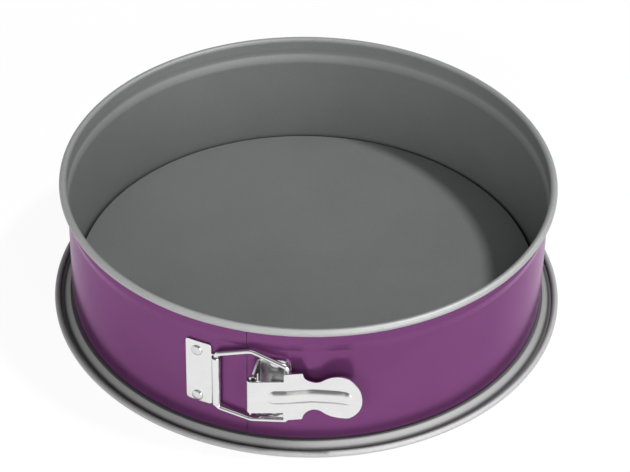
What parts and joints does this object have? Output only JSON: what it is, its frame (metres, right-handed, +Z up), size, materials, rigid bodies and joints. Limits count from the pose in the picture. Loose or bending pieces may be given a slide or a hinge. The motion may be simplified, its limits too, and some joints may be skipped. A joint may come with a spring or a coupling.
{
  "type": "springform pan",
  "caption": "Round springform cake pan: raised-floor base with a drip rim, sprung ring with a rolled rim, and an over-centre lever clasp that closes the seam.",
  "frame": {"origin": "centre of the pan on the plane it stands on", "axes": "+Z up, seam and clasp facing -Y, lever on the +X side of the seam"},
  "size_m": [0.2456, 0.2458, 0.07],
  "materials": {
    "base_coat": "satin non-stick coat on steel sheet",
    "ring_paint": "gloss purple outside, grey satin non-stick coat inside",
    "tinplate": "bright tinplate",
    "rivet_steel": "bright",
    "bright_wire": "bright drawn wire"
  },
  "bodies": {
    "base": {"base_plate": "base_coat"},
    "ring_right": {"ring_right": "ring_paint", "lever_bracket": "tinplate", "bracket_rivets": "rivet_steel"},
    "ring_left": {"ring_left": "ring_paint", "anchor_plate": "tinplate", "anchor_rivets": "rivet_steel"},
    "bail": {"wire_bail": "bright_wire"},
    "lever": {"tension_lever": "tinplate"}
  },
  "joints": [
    {"name": "ring_lift", "type": "slide", "parent": "base", "child": "ring_right", "axis": [0, 0, 1], "range_m": [0, 0.1]},
    {"name": "lever_swing", "type": "hinge", "parent": "ring_right", "child": "lever", "pos_m": [0.0038, -0.12084, 0.0342], "axis": [0, 0, -1], "range_deg": [0, 140]},
    {"name": "ring_open", "type": "hinge", "parent": "ring_right", "child": "ring_left", "pos_m": [0, 0.1176, 0.037], "axis": [0, 0, -1], "range_deg": [0, 4.19]},
    {"name": "bail_swing", "type": "hinge", "parent": "ring_left", "child": "bail", "pos_m": [-0.01377, -0.11538, 0.0342], "axis": [0, 0, -1], "range_deg": [0, 31.94]}
  ],
  "couplings": [
    {"joint": "ring_open", "follows": "lever_swing", "ratio": 0.029897},
    {"joint": "bail_swing", "follows": "lever_swing", "ratio": 0.22808}
  ]
}
